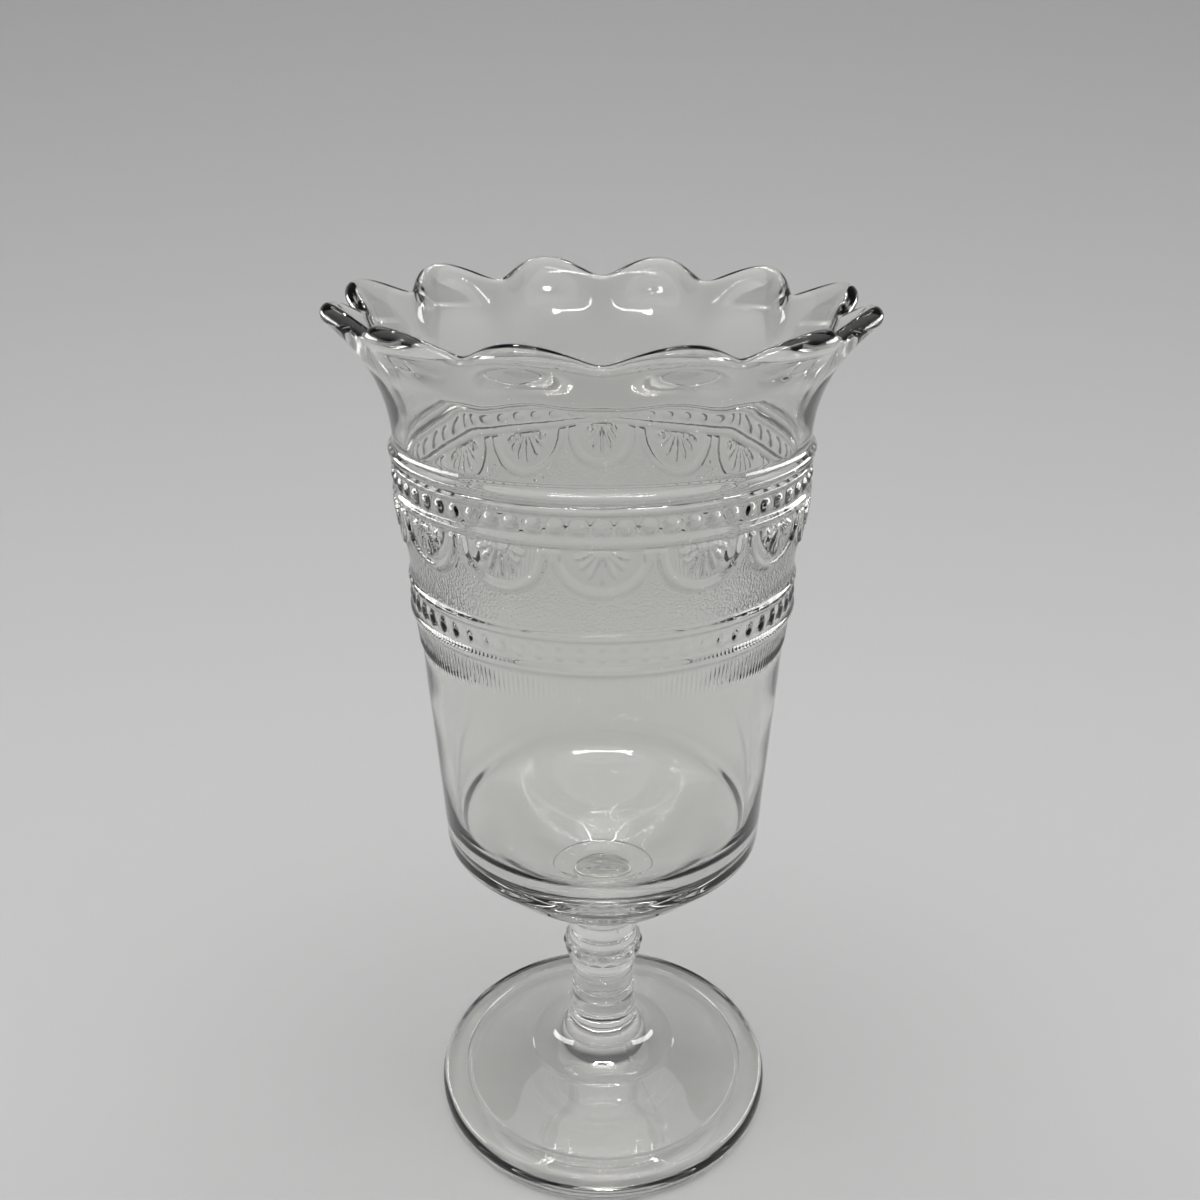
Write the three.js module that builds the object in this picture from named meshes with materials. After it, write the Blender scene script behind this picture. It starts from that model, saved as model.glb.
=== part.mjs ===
// A pressed glass pedestal vase: a deep bowl with a scalloped, flared rim on a beaded stem and a round foot.
// Millimetres, +Z up. The origin is the centre of the circle that the foot stands on.

import * as THREE from 'three';

// The foot is a low disc that climbs as a cone to the stem. It is hollow underneath, so it stands on a ring.
const footRadius = 49.7;
const footEdgeHeight = 7.8;
const footEdgeRounding = 1.5;
const standingRingInset = 2.0;
const standingRingWidth = 4.0;
const footHollowDepth = 4.6;
const footGrooveInset = 7.0;
const footGrooveWidth = 1.6;
const footGrooveDepth = 0.5;
const footConeRise = 6.8;
const footFlareRadius = 21.7;
const footStepHeight = 0.6;
const footFlareRise = 12.8;

// The stem is a column on a thin collar, with a beaded knop and a short neck above it.
const stemRadius = 8.95;
const collarProud = 0.9;
const collarHeight = 1.8;
const columnHeight = 14.3;
const columnStepHeight = 7.3;
const columnStepProud = 0.4;
const knopProud = 2.45;
const knopHeight = 12.9;
const knopBeads = 16;
const knopBeadProud = 0.45;
const knopBeadHeight = 3.0;
const neckHeight = 8.0;
const neckRingProud = 0.25;

// The wafer is the button of hot glass that joins the stem to the bowl.
const waferHeight = 5.2;
const waferRadius = 16.7;

// The bowl's outer wall, from the wafer up.
const bowlBaseHeight = 24.0;
const bowlBaseRadius = 43.9;
const plainWallHeight = 60.3;
const ribBandRadius = 47.9;
const ribBandHeight = 7.2;
const ornamentRadius = 49.2;
const ornamentTopRadius = 51.7;
const wallThickness = 2.8;
const floorThickness = 10.3;
const floorRadius = 29.0;

// Rings round the bowl: two above and two below the looped panel, each pair with a row of beads between.
const ringHeight = 2.6;
const ringProud = 0.8;
const lowerBeadBandHeight = 5.6;
const upperBeadBandHeight = 4.8;
const beadBandProud = 0.35;
const panelHeight = 20.6;
const topRollHeight = 5.6;
const topRollProud = 1.4;

// The flare stays upright above the top roll, then turns out to the lip. The lip is drawn out into scallops, with
// a valley at the front and at the back. It was finished by hand, so it lies a little lower at the front and right.
const flareHeight = 26.9;
const flareReach = 7.1;
const flareUpright = 12.8;
const flareTurn = 9.5;
const scallops = 12;
const scallopReach = 6.8;
const scallopRise = 2.6;
const valleySlope = 72;
const scallopSlope = 39;
const valleyLip = 2.7;
const scallopLip = 4.9;
const frontDip = 1.2;
const rightDip = 0.6;

const bowlSegments = 72;
const footSegments = 72;
const stemSegments = 48;
const waferSegments = 48;
const footFlareSteps = 7;
const flareSteps = 8;
const lipSteps = 6;

const footHeight = footEdgeHeight + footConeRise + footStepHeight + footFlareRise;
const stemHeight = collarHeight + columnHeight + knopHeight + neckHeight;
const stemBottom = footHeight;
const waferBottom = stemBottom + stemHeight;
const bowlBottom = waferBottom + waferHeight;
const baseTop = bowlBottom + bowlBaseHeight;
const ribBandBottom = baseTop + plainWallHeight;
const ornamentBottom = ribBandBottom + ribBandHeight;
const lowerBeads = ornamentBottom + ringHeight;
const lowerRing = lowerBeads + lowerBeadBandHeight;
const panelBottom = lowerRing + ringHeight;
const panelTop = panelBottom + panelHeight;
const upperBeads = panelTop + ringHeight;
const topRoll = upperBeads + upperBeadBandHeight;
const flareBottom = topRoll + topRollHeight;
const lipHeight = flareBottom + flareHeight;

const glass = new THREE.MeshStandardMaterial({ color: 0xd9dcd6, roughness: 0.05, metalness: 0 });

function mix(a, b, share) {
  return a + (b - a) * share;
}

function eased(share) {
  return share * share * (3 - 2 * share);
}

// Radii and heights along a quarter ellipse, from a vertical tangent at its start to a level one at its end.
function quarter(from, to, steps) {
  const points = [];
  for (let i = 1; i < steps; i++) {
    const angle = (i / steps) * Math.PI / 2;
    points.push([mix(to[0], from[0], Math.cos(angle)), mix(from[1], to[1], Math.sin(angle))]);
  }
  return points;
}

// Turns an outline of [radius, height] points, which starts and ends on the axis, about +Z.
function turned(outline, segments) {
  const points = outline.map(([radius, height]) => new THREE.Vector2(radius, height));
  return new THREE.LatheGeometry(points, segments).rotateX(Math.PI / 2);
}

// Moves each vertex in its own vertical plane: change takes radius, height and angle, and gives the new two.
function reshaped(geometry, change) {
  const position = geometry.attributes.position;
  for (let i = 0; i < position.count; i++) {
    const x = position.getX(i);
    const y = position.getY(i);
    const oldRadius = Math.hypot(x, y);
    if (oldRadius < 1e-6) continue;
    const [radius, height] = change(oldRadius, position.getZ(i), Math.atan2(x, -y));
    position.setXYZ(i, (x * radius) / oldRadius, (y * radius) / oldRadius, height);
  }
  geometry.computeVertexNormals();
  return geometry;
}

function piece(name, geometry) {
  const mesh = new THREE.Mesh(geometry, glass);
  mesh.name = name;
  return mesh;
}

function footShape() {
  const edge = footRadius - footEdgeRounding;
  const ringOuter = footRadius - standingRingInset;
  const ringInner = ringOuter - standingRingWidth;
  const grooveOuter = footRadius - footGrooveInset;
  const grooveInner = grooveOuter - footGrooveWidth;
  const coneTop = footEdgeHeight + footConeRise;
  const flareBase = coneTop + footStepHeight;
  const collarRadius = stemRadius + collarProud;
  const outline = [
    [0, footHollowDepth],
    [ringInner / 2, footHollowDepth * 0.8],
    [ringInner * 0.85, footHollowDepth * 0.35],
    [ringInner, 0],
    [ringOuter, 0],
    [footRadius - footEdgeRounding / 4, footEdgeHeight * 0.18],
    [footRadius, footEdgeHeight * 0.5],
    [footRadius - footEdgeRounding / 4, footEdgeHeight * 0.82],
    [edge, footEdgeHeight],
    [grooveOuter, footEdgeHeight],
    [(grooveOuter + grooveInner) / 2, footEdgeHeight - footGrooveDepth],
    [grooveInner, footEdgeHeight],
    [mix(grooveInner, footFlareRadius, 0.5), mix(footEdgeHeight, coneTop, 0.42)],
    [footFlareRadius, coneTop],
  ];
  for (let i = 0; i <= footFlareSteps; i++) {
    const angle = (i / footFlareSteps) * Math.PI / 2;
    const radius = mix(footFlareRadius, collarRadius, Math.sin(angle));
    outline.push([radius, mix(footHeight, flareBase, Math.cos(angle))]);
  }
  outline.push([0, footHeight]);
  return turned(outline, footSegments);
}

function stemShape() {
  const collarTop = stemBottom + collarHeight;
  const columnTop = collarTop + columnHeight;
  const knopTop = columnTop + knopHeight;
  const knopMiddle = columnTop + knopHeight * 0.56;
  const stepTop = collarTop + columnStepHeight;
  const knopRadius = stemRadius + knopProud;
  const outline = [
    [0, stemBottom],
    [stemRadius + collarProud, stemBottom],
    [stemRadius + collarProud, stemBottom + collarHeight * 0.6],
    [stemRadius + columnStepProud, collarTop],
    [stemRadius + columnStepProud, stepTop],
    [stemRadius, stepTop + columnStepProud],
    [stemRadius, columnTop],
    [stemRadius + knopProud * 0.5, mix(columnTop, knopMiddle, 0.4)],
    [stemRadius + knopProud * 0.85, knopMiddle - knopBeadHeight / 2],
    [knopRadius, knopMiddle],
    [stemRadius + knopProud * 0.9, knopMiddle + knopBeadHeight / 2],
    [stemRadius + knopProud * 0.4, mix(knopMiddle, knopTop, 0.6)],
    [stemRadius, knopTop],
    [stemRadius, knopTop + neckHeight * 0.5],
    [stemRadius + neckRingProud, knopTop + neckHeight * 0.6],
    [stemRadius, knopTop + neckHeight * 0.7],
    [stemRadius, waferBottom],
    [0, waferBottom],
  ];
  return reshaped(turned(outline, stemSegments), (radius, height, angle) => {
    const nearRow = Math.max(0, 1 - Math.abs(height - knopMiddle) / (knopBeadHeight / 2));
    const bead = (1 + Math.cos(knopBeads * angle)) / 2;
    return [radius + knopBeadProud * nearRow * bead, height];
  });
}

function waferShape() {
  const outline = [[0, waferBottom], [stemRadius, waferBottom]];
  const steps = 4;
  for (let i = 1; i <= steps; i++) {
    const share = i / steps;
    outline.push([mix(stemRadius, waferRadius, share * share), mix(waferBottom, bowlBottom, share)]);
  }
  outline.push([0, bowlBottom]);
  return turned(outline, waferSegments);
}

function panelRadius(height) {
  return mix(ornamentRadius, ornamentTopRadius, eased((height - panelBottom) / panelHeight));
}

// A raised ring on the wall: its two feet on the wall and its flat crest.
function ring(radius, bottom, height, proud) {
  return [
    [radius, bottom],
    [radius + proud, bottom + height * 0.3],
    [radius + proud, bottom + height * 0.7],
    [radius, bottom + height],
  ];
}

function bowlShape() {
  const outline = [[0, bowlBottom], [waferRadius, bowlBottom]];
  const undersideSteps = [[0.24, 0.14], [0.40, 0.26], [0.60, 0.46], [0.76, 0.64], [0.925, 0.825], [0.985, 0.91]];
  for (const [out, up] of undersideSteps) {
    outline.push([mix(waferRadius, bowlBaseRadius, out), mix(bowlBottom, baseTop, up)]);
  }
  outline.push([bowlBaseRadius, baseTop]);
  outline.push([mix(bowlBaseRadius, ribBandRadius, 0.55), mix(baseTop, ribBandBottom, 0.55)]);
  outline.push([ribBandRadius, ribBandBottom]);
  outline.push(...ring(ornamentRadius, ornamentBottom, ringHeight, ringProud));
  outline.push([ornamentRadius + beadBandProud, lowerBeads + lowerBeadBandHeight / 2]);
  outline.push(...ring(ornamentRadius, lowerRing, ringHeight, ringProud));
  for (const share of [0.25, 0.5, 0.75]) {
    const height = panelBottom + panelHeight * share;
    outline.push([panelRadius(height), height]);
  }
  outline.push(...ring(ornamentTopRadius, panelTop, ringHeight, ringProud));
  outline.push([ornamentTopRadius + beadBandProud, upperBeads + upperBeadBandHeight / 2]);
  outline.push(...ring(ornamentTopRadius, topRoll, topRollHeight, topRollProud));
  const flareInner = ornamentTopRadius - wallThickness;
  for (let i = 1; i <= flareSteps; i++) {
    outline.push([ornamentTopRadius, mix(flareBottom, lipHeight, i / flareSteps)]);
  }
  for (let i = 1; i < lipSteps; i++) {
    const angle = (i / lipSteps) * Math.PI;
    const depth = (wallThickness / 2) * (1 - Math.cos(angle));
    outline.push([ornamentTopRadius - depth, lipHeight + (wallThickness / 2) * Math.sin(angle)]);
  }
  for (let i = flareSteps; i >= 0; i--) {
    outline.push([flareInner, mix(flareBottom, lipHeight, i / flareSteps)]);
  }
  outline.push([flareInner, panelTop]);
  outline.push([ornamentRadius - wallThickness, ornamentBottom]);
  outline.push([ribBandRadius - wallThickness, ribBandBottom]);
  const innerBase = [bowlBaseRadius - wallThickness, baseTop + floorThickness * 0.8];
  const floorHeight = bowlBottom + floorThickness;
  outline.push(innerBase);
  outline.push(...quarter(innerBase, [floorRadius * 0.6, floorHeight], 4));
  outline.push([floorRadius * 0.6, floorHeight]);
  outline.push([0, floorHeight]);
  return reshaped(turned(outline, bowlSegments), drawnOut);
}

// Bends the upright wall above the top roll into the flare. A point keeps its share of the way up the wall, its
// share of the thickness, and how far it stands past the wall's end, where the lip is rounded.
function drawnOut(radius, height, angle) {
  if (height <= flareBottom) return [radius, height];
  const share = Math.min(1, (height - flareBottom) / flareHeight);
  const lobe = Math.abs(Math.sin((scallops * angle) / 2));
  const slope = THREE.MathUtils.degToRad(mix(valleySlope, scallopSlope, lobe));
  const lipRadius = ornamentTopRadius + flareReach + scallopReach * Math.pow(lobe, 1.2);
  const lipBottom = lipHeight + scallopRise * lobe;
  const wall = new THREE.CubicBezierCurve(
    new THREE.Vector2(ornamentTopRadius, flareBottom),
    new THREE.Vector2(ornamentTopRadius, flareBottom + flareUpright),
    new THREE.Vector2(lipRadius - flareTurn * Math.cos(slope), lipBottom - flareTurn * Math.sin(slope)),
    new THREE.Vector2(lipRadius, lipBottom),
  );
  const lip = mix(valleyLip, scallopLip, lobe) / wallThickness;
  const thickening = mix(1, lip, share * share * share);
  const depth = (ornamentTopRadius - radius) * thickening;
  const past = Math.max(0, height - lipHeight) * lip;
  const point = wall.getPoint(share);
  const along = wall.getTangent(share);
  const newRadius = point.x - along.y * depth + along.x * past;
  const newHeight = point.y + along.x * depth + along.y * past;
  const dip = (frontDip * Math.cos(angle) + rightDip * Math.sin(angle)) * share;
  return [newRadius, newHeight - dip];
}

const vase = new THREE.Group();
vase.add(piece('foot', footShape()));
vase.add(piece('stem', stemShape()));
vase.add(piece('wafer', waferShape()));
vase.add(piece('bowl', bowlShape()));

export default vase;
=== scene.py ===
"""A clear pressed glass vase on a beaded stem and a round foot, in metres, +Z up, front at -Y."""

import math

import bpy
from mathutils import Matrix, Vector


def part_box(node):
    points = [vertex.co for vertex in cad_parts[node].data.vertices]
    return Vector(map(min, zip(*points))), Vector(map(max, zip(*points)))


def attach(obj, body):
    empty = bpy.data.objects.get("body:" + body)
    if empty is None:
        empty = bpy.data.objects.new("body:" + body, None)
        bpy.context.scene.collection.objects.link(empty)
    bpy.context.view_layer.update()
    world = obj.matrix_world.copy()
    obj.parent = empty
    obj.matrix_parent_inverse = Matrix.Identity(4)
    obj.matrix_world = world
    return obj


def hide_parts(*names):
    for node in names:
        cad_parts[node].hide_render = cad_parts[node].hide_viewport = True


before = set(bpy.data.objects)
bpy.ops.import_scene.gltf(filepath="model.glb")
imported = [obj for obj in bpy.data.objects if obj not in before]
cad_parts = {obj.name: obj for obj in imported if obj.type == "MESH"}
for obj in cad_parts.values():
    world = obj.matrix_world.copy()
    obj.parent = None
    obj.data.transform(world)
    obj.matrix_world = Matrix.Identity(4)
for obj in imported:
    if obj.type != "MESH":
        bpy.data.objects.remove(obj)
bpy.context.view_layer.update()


# The foot is a pressed disc of clear glass, hollow underneath, that stands on a flat ring and
# climbs as a low cone to the stem. Handling has worn its top and its edge, and the mould left a
# faint seam up the cone.

MM = 0.001
FULL_TURN = 2 * math.pi

FOOT_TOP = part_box("foot")[1].z / MM
FOOT_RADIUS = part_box("foot")[1].x / MM
FOOT_EDGE_HEIGHT = 7.8
FOOT_EDGE_ROUNDING = 2.3
FOOT_EDGE_GAP = 0.4
STANDING_RING_OUTER = FOOT_RADIUS - 2.0
STANDING_RING_INNER = STANDING_RING_OUTER - 4.0
FOOT_HOLLOW_DEPTH = 4.6
FOOT_HOLLOW_FLATNESS = 2.4
FOOT_GROOVE_MIDDLE = 41.7
FOOT_GROOVE_HALF_WIDTH = 0.9
FOOT_GROOVE_DEPTH = 0.85
FOOT_CONE_TOP = 14.6
FOOT_CONE_MIDDLE_RISE = 0.42
FOOT_FLARE_RADIUS = 21.7
FOOT_STEP_HEIGHT = 0.6
FOOT_STEP_WIDTH = 1.2
COLLAR_RADIUS = 9.85
JOINT_SINK = 0.03
SEAM_ANGLE = math.radians(31)
SEAM_WIDTH = 0.45
SEAM_PROUD = 0.13
CONE_SEAM_END = FOOT_GROOVE_MIDDLE - 4
CONE_SEAM_FADE = 6

FOOT_COLUMNS = 360
FOOT_MIDDLE_COLUMNS = 180
FOOT_MIDDLE_RINGS = 12
FOOT_HOLLOW_STEPS = 24
FOOT_RING_STEPS = 4
FOOT_CORNER_STEPS = 10
FOOT_FLAT_STEPS = 5
FOOT_GROOVE_STEPS = 9
FOOT_CONE_STEPS = 10
FOOT_STEP_STEPS = 6
FOOT_FLARE_STEPS = 20
SHARP_EDGE = math.radians(60)

GLASS_IOR = 1.5
WAVE_SCALE = 45
PEEL_SCALE = 700
STIPPLE_SCALE = 1500
PLAIN_NOISE_ROUGHNESS = 0.5
SPECK_SCALE = 900
SPECK_ROUGHNESS = 0.7
SPECK_RANGE = (0.60, 0.72)
PATCH_SCALE = 60
PATCH_RANGE = (0.45, 0.65)
TINT_SCALE = 25
FOOT_CLEAR_TINT = (0.975, 0.98, 0.965)
FOOT_THICK_TINT = (0.955, 0.96, 0.94)


def mix(low, high, share):
    return low + (high - low) * share


def eased(share):
    share = min(1.0, max(0.0, share))
    return share * share * (3 - 2 * share)


def straight(start, end, steps):
    """Points from start up to, but without, end."""
    return [(mix(start[0], end[0], i / steps), mix(start[1], end[1], i / steps))
            for i in range(steps)]


def smooth(points, steps):
    """Points on a smooth curve through these, without the last one, each stretch cut in steps."""
    line = []
    for i in range(len(points) - 1):
        before, after = max(i - 1, 0), min(i + 2, len(points) - 1)
        near = [points[before], points[i], points[i + 1], points[after]]
        for step in range(steps):
            t = step / steps
            line.append(tuple(
                0.5 * (2 * b + (c - a) * t + (2 * a - 5 * b + 4 * c - d) * t * t
                       + (3 * b - a - 3 * c + d) * t ** 3)
                for a, b, c, d in zip(*near)
            ))
    return line


def corner(middle, start_angle, end_angle, radii, steps):
    """A rounded corner as part of an ellipse, with both of its ends."""
    points = []
    for i in range(steps + 1):
        angle = math.radians(mix(start_angle, end_angle, i / steps))
        points.append((middle[0] + radii[0] * math.cos(angle),
                       middle[1] + radii[1] * math.sin(angle)))
    return points


def ring(radius, height, columns, relief=None):
    """One ring of points round the axis, counterclockwise from the front, in metres."""
    points = []
    for i in range(columns):
        angle = FULL_TURN * i / columns
        r, z = relief(radius, height, angle) if relief else (radius, height)
        points.append((r * math.sin(angle) * MM, -r * math.cos(angle) * MM, z * MM))
    return points


def turned(outline, columns, relief=None):
    """The rings of an outline of radii and heights."""
    return [ring(radius, height, columns, relief) for radius, height in outline]


def middle_point(height):
    return [(0.0, 0.0, height * MM)]


def joint_middle(height, into):
    """The middle of a fused end, sunk a hair into its own piece, so that the two planes of a
    joint never coincide."""
    return middle_point(height + JOINT_SINK * into)


def strip_between(low, high, first_low, first_high):
    """Faces between two rings, which may differ in their number of points, or between a ring and
    the single point where a solid ends on the axis."""
    n, m = len(low), len(high)
    if n == 1:
        return [(first_low, first_high + (j + 1) % m, first_high + j) for j in range(m)]
    if m == 1:
        return [(first_low + i, first_low + (i + 1) % n, first_high) for i in range(n)]
    if n == m:
        return [(first_low + i, first_low + (i + 1) % n, first_high + (i + 1) % n, first_high + i)
                for i in range(n)]
    faces, i, j = [], 0, 0
    while i < n or j < m:
        if j == m or (i < n and (i + 1) * m <= (j + 1) * n):
            faces.append((first_low + i % n, first_low + (i + 1) % n, first_high + j % m))
            i += 1
        else:
            faces.append((first_low + i % n, first_high + (j + 1) % m, first_high + j % m))
            j += 1
    return faces


def glass_solid(name, rings, fused_bottom, fused_top):
    """A closed solid over rings of points from the middle of its underside to the middle of its
    top. Its end faces take the second material where other glass was joined to them hot."""
    points, faces, fused = [], [], []
    for k, points_here in enumerate(rings):
        if k:
            below = rings[k - 1]
            strip = strip_between(below, points_here, len(points) - len(below), len(points))
            faces.extend(strip)
            is_fused = (k == 1 and fused_bottom) or (k == len(rings) - 1 and fused_top)
            fused.extend([1 if is_fused else 0] * len(strip))
        points.extend(points_here)
    mesh = bpy.data.meshes.new(name)
    mesh.from_pydata(points, [], faces)
    mesh.polygons.foreach_set("material_index", fused)
    mesh.polygons.foreach_set("use_smooth", [True] * len(faces))
    mesh.set_sharp_from_angle(angle=SHARP_EDGE)
    solid = bpy.data.objects.new(name, mesh)
    bpy.context.collection.objects.link(solid)
    return solid


def seamed(radius, height, angle):
    """Adds the mould seams, two opposite lines that run from the foot to the bowl."""
    across = math.remainder(angle - SEAM_ANGLE, math.pi) * radius / SEAM_WIDTH
    return radius + SEAM_PROUD * math.exp(-across * across), height


def cone_seamed(radius, height, angle):
    """The same seams where the surface lies nearly flat, so that they stand up from it."""
    seam_radius, _ = seamed(radius, height, angle)
    fade = eased((CONE_SEAM_END - radius) / CONE_SEAM_FADE)
    return radius, height + (seam_radius - radius) * fade


def foot_underside():
    hollow = []
    for i in range(1, FOOT_HOLLOW_STEPS):
        share = i / FOOT_HOLLOW_STEPS
        hollow.append((STANDING_RING_INNER * share,
                       FOOT_HOLLOW_DEPTH * (1 - share ** FOOT_HOLLOW_FLATNESS)))
    return hollow + straight((STANDING_RING_INNER, 0), (STANDING_RING_OUTER, 0), FOOT_RING_STEPS)


def foot_edge():
    """The rounded edge and the flat band inside it, up to the groove."""
    middle = FOOT_EDGE_HEIGHT / 2
    rounding_start = FOOT_RADIUS - FOOT_EDGE_ROUNDING
    edge = corner((STANDING_RING_OUTER, middle), -90, 0,
                  (FOOT_RADIUS - STANDING_RING_OUTER, middle), FOOT_CORNER_STEPS)
    edge += corner((rounding_start, middle), 0, 90,
                   (FOOT_EDGE_ROUNDING, middle), FOOT_CORNER_STEPS)[1:]
    return edge + straight((rounding_start - FOOT_EDGE_GAP, FOOT_EDGE_HEIGHT),
                           (FOOT_GROOVE_MIDDLE + FOOT_GROOVE_HALF_WIDTH, FOOT_EDGE_HEIGHT),
                           FOOT_FLAT_STEPS)


def groove_line():
    """The shallow groove between the foot's flat band and its cone."""
    points = []
    for i in range(FOOT_GROOVE_STEPS):
        share = mix(-1, 1, i / FOOT_GROOVE_STEPS)
        depth = FOOT_GROOVE_DEPTH * 0.5 * (1 + math.cos(math.pi * share))
        points.append((FOOT_GROOVE_MIDDLE - share * FOOT_GROOVE_HALF_WIDTH,
                       FOOT_EDGE_HEIGHT - depth))
    return points


def foot_cone():
    """The cone, with the soft step at its top."""
    cone_start = FOOT_GROOVE_MIDDLE - FOOT_GROOVE_HALF_WIDTH
    cone = smooth([(cone_start, FOOT_EDGE_HEIGHT),
                   (mix(cone_start, FOOT_FLARE_RADIUS, 0.5),
                    mix(FOOT_EDGE_HEIGHT, FOOT_CONE_TOP, FOOT_CONE_MIDDLE_RISE)),
                   (FOOT_FLARE_RADIUS + FOOT_STEP_WIDTH / 2, FOOT_CONE_TOP)], FOOT_CONE_STEPS)
    for i in range(FOOT_STEP_STEPS):
        share = i / FOOT_STEP_STEPS
        cone.append((FOOT_FLARE_RADIUS + FOOT_STEP_WIDTH * (0.5 - share),
                     FOOT_CONE_TOP + FOOT_STEP_HEIGHT * eased(share)))
    return cone


def foot_flare():
    """The hollow curve from the top of the cone up to the collar."""
    flare = []
    for i in range(FOOT_FLARE_STEPS + 1):
        angle = i / FOOT_FLARE_STEPS * math.pi / 2
        flare.append((mix(FOOT_FLARE_RADIUS - FOOT_STEP_WIDTH / 2, COLLAR_RADIUS, math.sin(angle)),
                      mix(FOOT_TOP, FOOT_CONE_TOP + FOOT_STEP_HEIGHT, math.cos(angle))))
    return flare


def foot_rings():
    underside = foot_underside()
    rings = [middle_point(FOOT_HOLLOW_DEPTH)]
    rings += turned(underside[:FOOT_MIDDLE_RINGS], FOOT_MIDDLE_COLUMNS)
    rings += turned(underside[FOOT_MIDDLE_RINGS:] + foot_edge() + groove_line(), FOOT_COLUMNS)
    rings += turned(foot_cone(), FOOT_COLUMNS, cone_seamed)
    rings += turned(foot_flare(), FOOT_COLUMNS, seamed)
    return rings + [joint_middle(FOOT_TOP, -1)]


def add_node(tree, kind, **settings):
    node = tree.nodes.new(kind)
    for name, value in settings.items():
        setattr(node, name, value)
    return node


def combined(tree, operation, first, second):
    """Two values brought together by this operation."""
    node = add_node(tree, "ShaderNodeMath", operation=operation)
    tree.links.new(first, node.inputs[0])
    tree.links.new(second, node.inputs[1])
    return node.outputs[0]


def ranged(tree, value, start, end, low=0.0, high=1.0, kind="LINEAR"):
    """A value that runs from low to high while the given one runs from start to end."""
    node = add_node(tree, "ShaderNodeMapRange", interpolation_type=kind)
    for name, number in (("From Min", start), ("From Max", end), ("To Min", low), ("To Max", high)):
        node.inputs[name].default_value = number
    tree.links.new(value, node.inputs["Value"])
    return node.outputs[0]


def pressed_skin_group():
    """The skin that a mould leaves on glass: slow waves, a fine orange peel, stippled ground
    where it is asked for, and the small scratches and specks of handling."""
    group = bpy.data.node_groups.new("Pressed glass skin", "ShaderNodeTree")
    for direction, kind, names in (
        ("INPUT", "NodeSocketFloat",
         ("Wave height", "Peel height", "Stipple height", "Stipple mask", "Wear")),
        ("INPUT", "NodeSocketColor", ("Clear tint", "Thick tint")),
        ("OUTPUT", "NodeSocketColor", ("Tint",)),
        ("OUTPUT", "NodeSocketFloat", ("Roughness", "Height")),
    ):
        for name in names:
            group.interface.new_socket(name=name, in_out=direction, socket_type=kind)
    source = add_node(group, "NodeGroupInput")
    result = add_node(group, "NodeGroupOutput")
    place = add_node(group, "ShaderNodeTexCoord").outputs["Object"]
    link = group.links.new

    def noise(scale, detail, roughness=PLAIN_NOISE_ROUGHNESS):
        node = add_node(group, "ShaderNodeTexNoise")
        node.inputs["Scale"].default_value = scale
        node.inputs["Detail"].default_value = detail
        node.inputs["Roughness"].default_value = roughness
        link(place, node.inputs["Vector"])
        return node.outputs["Fac"]

    waves = combined(group, "MULTIPLY", noise(WAVE_SCALE, detail=1), source.outputs["Wave height"])
    peel = combined(group, "MULTIPLY", noise(PEEL_SCALE, detail=2), source.outputs["Peel height"])
    grains = add_node(group, "ShaderNodeTexVoronoi")
    grains.inputs["Scale"].default_value = STIPPLE_SCALE
    link(place, grains.inputs["Vector"])
    stipple = combined(group, "MULTIPLY", grains.outputs["Distance"],
                       source.outputs["Stipple height"])
    stipple = combined(group, "MULTIPLY", stipple, source.outputs["Stipple mask"])
    smooth_skin = combined(group, "ADD", waves, peel)
    link(combined(group, "ADD", smooth_skin, stipple), result.inputs["Height"])

    specks = ranged(group, noise(SPECK_SCALE, detail=6, roughness=SPECK_ROUGHNESS), *SPECK_RANGE)
    patches = ranged(group, noise(PATCH_SCALE, detail=3), *PATCH_RANGE)
    wear = combined(group, "MULTIPLY", specks, patches)
    link(combined(group, "MULTIPLY", wear, source.outputs["Wear"]), result.inputs["Roughness"])

    tint = add_node(group, "ShaderNodeMix", data_type="RGBA")
    link(noise(TINT_SCALE, detail=2), tint.inputs["Factor"])
    link(source.outputs["Clear tint"], tint.inputs["A"])
    link(source.outputs["Thick tint"], tint.inputs["B"])
    link(tint.outputs["Result"], result.inputs["Tint"])
    return group


GLASS_SKIN = pressed_skin_group()


def clear_glass(name, clear, thick, waves, peel, wear, stipple=0.0):
    """Clear soda glass with a fire-polished skin. Waves, peel and stipple are in millimetres."""
    material = bpy.data.materials.new(name)
    material.use_nodes = True
    tree = material.node_tree
    shader = tree.nodes["Principled BSDF"]
    shader.inputs["Transmission Weight"].default_value = 1.0
    shader.inputs["IOR"].default_value = GLASS_IOR
    skin = add_node(tree, "ShaderNodeGroup", node_tree=GLASS_SKIN)
    for socket, value in (("Clear tint", (*clear, 1)), ("Thick tint", (*thick, 1)),
                          ("Wave height", waves), ("Peel height", peel),
                          ("Stipple height", stipple), ("Wear", wear)):
        skin.inputs[socket].default_value = value
    if stipple:
        ground = add_node(tree, "ShaderNodeAttribute", attribute_name="stippled")
        tree.links.new(ground.outputs["Fac"], skin.inputs["Stipple mask"])
    bump = add_node(tree, "ShaderNodeBump")
    bump.inputs["Strength"].default_value = 1.0
    bump.inputs["Distance"].default_value = MM
    tree.links.new(skin.outputs["Height"], bump.inputs["Height"])
    tree.links.new(skin.outputs["Tint"], shader.inputs["Base Color"])
    tree.links.new(skin.outputs["Roughness"], shader.inputs["Roughness"])
    tree.links.new(bump.outputs["Normal"], shader.inputs["Normal"])
    return material


def fused_glass():
    """The plane of a hot joint, where glass goes on into glass: it neither bends nor mirrors."""
    material = clear_glass("Fused joint", (1, 1, 1), (1, 1, 1), waves=0.0, peel=0.0, wear=0.0)
    material.node_tree.nodes["Principled BSDF"].inputs["IOR"].default_value = 1.0
    return material


FUSED_JOINT = fused_glass()


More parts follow.
